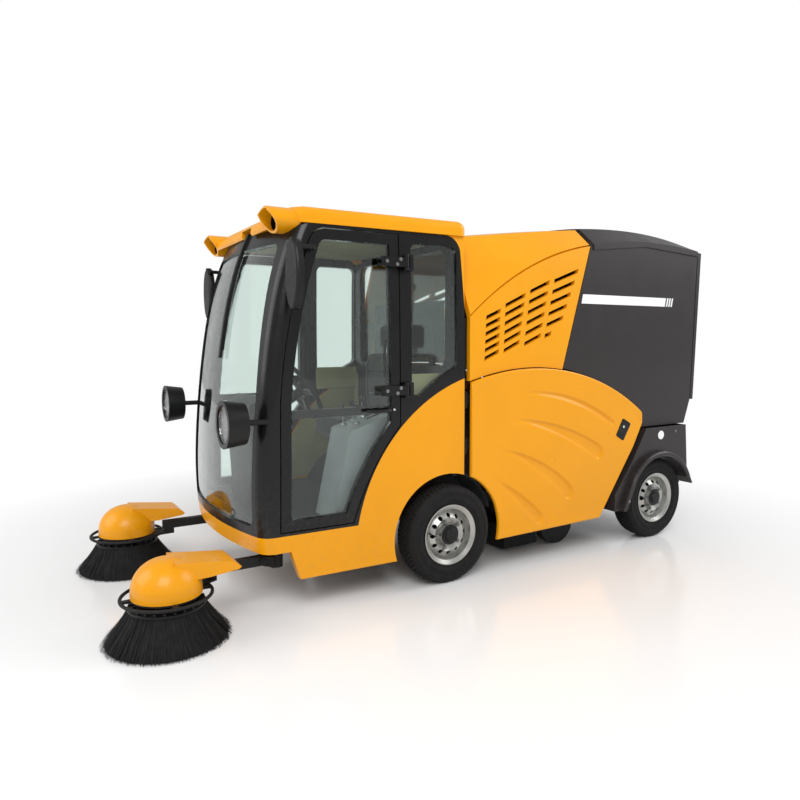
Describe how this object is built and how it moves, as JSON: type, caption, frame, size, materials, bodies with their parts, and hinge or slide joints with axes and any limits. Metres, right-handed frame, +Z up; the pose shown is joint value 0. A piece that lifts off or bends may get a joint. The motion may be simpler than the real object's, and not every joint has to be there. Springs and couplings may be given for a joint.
{
  "type": "compact road sweeper",
  "caption": "Compact road sweeper: glazed cab, louvred engine bay, tipping dust hopper with tailgate, swinging front brushes on arms, suction nozzle between the axles",
  "frame": {"origin": "on the ground below the centre of the whole machine", "axes": "+X forward, +Y to the driver's left, +Z up"},
  "size_m": [3.94, 1.718, 2.0995],
  "materials": {
    "yellow": "gloss yellow paint",
    "graphite": "satin dark grey paint",
    "black": "satin black paint",
    "chassis_black": "matt black chassis paint",
    "engine_iron": "bare casting",
    "floor": "dark floor covering",
    "clear": "clear glass",
    "lens": "fluted lens",
    "tail_lens": "red lens",
    "seat_vinyl": "black vinyl",
    "grey_plastic": "textured grey plastic",
    "black_plastic": "textured black plastic",
    "wheel_steel": "silver wheel paint",
    "tyre": "black rubber",
    "rod_chrome": "chromed rod",
    "steel": "machined steel",
    "bristle": "black bristles",
    "solid_tyre": "solid rubber"
  },
  "bodies": {
    "chassis": {"chassis_frame": "chassis_black", "front_axle": "chassis_black", "rear_axle": "chassis_black", "engine_block": "engine_iron", "cab_floor": "floor", "cab_frame": "black", "windscreen": "clear", "cab_windows": "clear", "cab_roof": "yellow", "quarter_panels": "yellow", "sill_panels": "yellow", "front_bumper": "yellow", "seat": "seat_vinyl", "side_console": "grey_plastic", "dashboard": "black_plastic", "steering_wheel": "black_plastic", "work_lamps": "black_plastic", "lamp_lenses": "lens", "engine_hood": "yellow", "grille_panels": "yellow", "rear_fenders": "graphite", "rear_valance": "graphite", "tail_lamps": "tail_lens", "suction_nozzle": "chassis_black", "brush_mounts": "chassis_black", "wiper": "black_plastic", "hopper_stands": "chassis_black", "bay_portal": "chassis_black"},
    "hopper_body": {"hopper": "graphite"},
    "tailgate": {"hopper_door": "graphite"},
    "barrels": {"tilt_barrels": "chassis_black"},
    "rods": {"tilt_rods": "rod_chrome"},
    "track_rod": {"tie_rod": "steel"},
    "nozzle_axle": {"nozzle_wheels": "solid_tyre"},
    "cab_door_left": {"door_left": "black", "door_glass_left": "clear", "door_mirror_left": "black_plastic"},
    "bay_door_left": {"side_door_left": "yellow"},
    "steer_left": {"knuckle_left": "steel"},
    "front_wheel_left": {"front_rim_left": "wheel_steel", "front_tyre_left": "tyre"},
    "rear_wheel_left": {"rear_rim_left": "wheel_steel", "rear_tyre_left": "tyre"},
    "bracket_left": {"brush_bracket_left": "chassis_black"},
    "arm_left": {"brush_arm_left": "chassis_black", "brush_deck_left": "yellow"},
    "sweep_left": {"brush_left": "bristle"},
    "cab_door_right": {"door_right": "black", "door_glass_right": "clear", "door_mirror_right": "black_plastic"},
    "bay_door_right": {"side_door_right": "yellow"},
    "steer_right": {"knuckle_right": "steel"},
    "front_wheel_right": {"front_rim_right": "wheel_steel", "front_tyre_right": "tyre"},
    "rear_wheel_right": {"rear_rim_right": "wheel_steel", "rear_tyre_right": "tyre"},
    "bracket_right": {"brush_bracket_right": "chassis_black"},
    "arm_right": {"brush_arm_right": "chassis_black", "brush_deck_right": "yellow"},
    "sweep_right": {"brush_right": "bristle"}
  },
  "joints": [
    {"name": "cab_door_left_swing", "type": "hinge", "parent": "chassis", "child": "cab_door_left", "pos_m": [0.462, 0.668, 1.42], "axis": [0, 0, 1], "range_deg": [0, 85]},
    {"name": "bay_door_left_swing", "type": "hinge", "parent": "chassis", "child": "bay_door_left", "pos_m": [0.057, 0.64, 0.89], "axis": [0, 0, -1], "range_deg": [0, 80]},
    {"name": "front_wheel_left_spin", "type": "hinge", "parent": "steer_left", "child": "front_wheel_left", "pos_m": [0.18, 0.605, 0.275], "axis": [0, 1, 0], "continuous": true},
    {"name": "rear_wheel_left_spin", "type": "hinge", "parent": "chassis", "child": "rear_wheel_left", "pos_m": [-1.53, 0.605, 0.275], "axis": [0, 1, 0], "continuous": true},
    {"name": "brush_left_swing", "type": "hinge", "parent": "chassis", "child": "bracket_left", "pos_m": [1.12, 0.47, 0.24], "axis": [0, 0, 1], "range_deg": [-8, 20]},
    {"name": "brush_left_lift", "type": "hinge", "parent": "bracket_left", "child": "arm_left", "pos_m": [1.19, 0.47, 0.25], "axis": [0, -1, 0], "range_deg": [0, 25]},
    {"name": "brush_left_spin", "type": "hinge", "parent": "arm_left", "child": "sweep_left", "pos_m": [1.678, 0.567, 0.16], "axis": [0, 0, 1], "continuous": true},
    {"name": "cab_door_right_swing", "type": "hinge", "parent": "chassis", "child": "cab_door_right", "pos_m": [0.462, -0.668, 1.42], "axis": [0, 0, -1], "range_deg": [0, 85]},
    {"name": "bay_door_right_swing", "type": "hinge", "parent": "chassis", "child": "bay_door_right", "pos_m": [0.057, -0.64, 0.89], "axis": [0, 0, 1], "range_deg": [0, 80]},
    {"name": "front_wheel_right_spin", "type": "hinge", "parent": "steer_right", "child": "front_wheel_right", "pos_m": [0.18, -0.605, 0.275], "axis": [0, 1, 0], "continuous": true},
    {"name": "rear_wheel_right_spin", "type": "hinge", "parent": "chassis", "child": "rear_wheel_right", "pos_m": [-1.53, -0.605, 0.275], "axis": [0, 1, 0], "continuous": true},
    {"name": "brush_right_swing", "type": "hinge", "parent": "chassis", "child": "bracket_right", "pos_m": [1.12, -0.47, 0.24], "axis": [0, 0, -1], "range_deg": [-8, 20]},
    {"name": "brush_right_lift", "type": "hinge", "parent": "bracket_right", "child": "arm_right", "pos_m": [1.19, -0.47, 0.25], "axis": [0, -1, 0], "range_deg": [0, 25]},
    {"name": "brush_right_spin", "type": "hinge", "parent": "arm_right", "child": "sweep_right", "pos_m": [1.678, -0.567, 0.16], "axis": [0, 0, 1], "continuous": true},
    {"name": "steering", "type": "hinge", "parent": "chassis", "child": "steer_left", "pos_m": [0.18, 0.48, 0.275], "axis": [0, 0, 1], "range_deg": [-30, 30]},
    {"name": "steering_right", "type": "hinge", "parent": "chassis", "child": "steer_right", "pos_m": [0.18, -0.48, 0.275], "axis": [0, 0, 1], "range_deg": [-30, 30]},
    {"name": "track_rod_swing", "type": "hinge", "parent": "steer_left", "child": "track_rod", "pos_m": [0.05, 0.48, 0.225], "axis": [0, 0, 1], "range_deg": [-30, 30]},
    {"name": "hopper_tip", "type": "hinge", "parent": "chassis", "child": "hopper_body", "pos_m": [-1.845, 0, 0.735], "axis": [0, -1, 0], "range_deg": [0, 45]},
    {"name": "tailgate_swing", "type": "hinge", "parent": "hopper_body", "child": "tailgate", "pos_m": [-1.94, 0, 2.03], "axis": [0, 1, 0], "range_deg": [0, 80]},
    {"name": "barrels_swing", "type": "hinge", "parent": "chassis", "child": "barrels", "pos_m": [-0.98, 0, 0.455], "axis": [0, -1, 0], "range_deg": [-15.07, 1]},
    {"name": "rods_slide", "type": "slide", "parent": "barrels", "child": "rods", "axis": [-0.8549, 0, 0.5188], "range_m": [-0.001, 0.284]},
    {"name": "nozzle_wheels_spin", "type": "hinge", "parent": "chassis", "child": "nozzle_axle", "pos_m": [-0.854, 0, 0.14], "axis": [0, 1, 0], "continuous": true}
  ],
  "couplings": [
    {"joint": "steering_right", "follows": "steering", "ratio": 1},
    {"joint": "track_rod_swing", "follows": "steering", "ratio": -1},
    {"joint": "barrels_swing", "follows": "hopper_tip", "ratio": -0.32368},
    {"joint": "rods_slide", "follows": "hopper_tip", "m_per_rad": 0.35911}
  ]
}
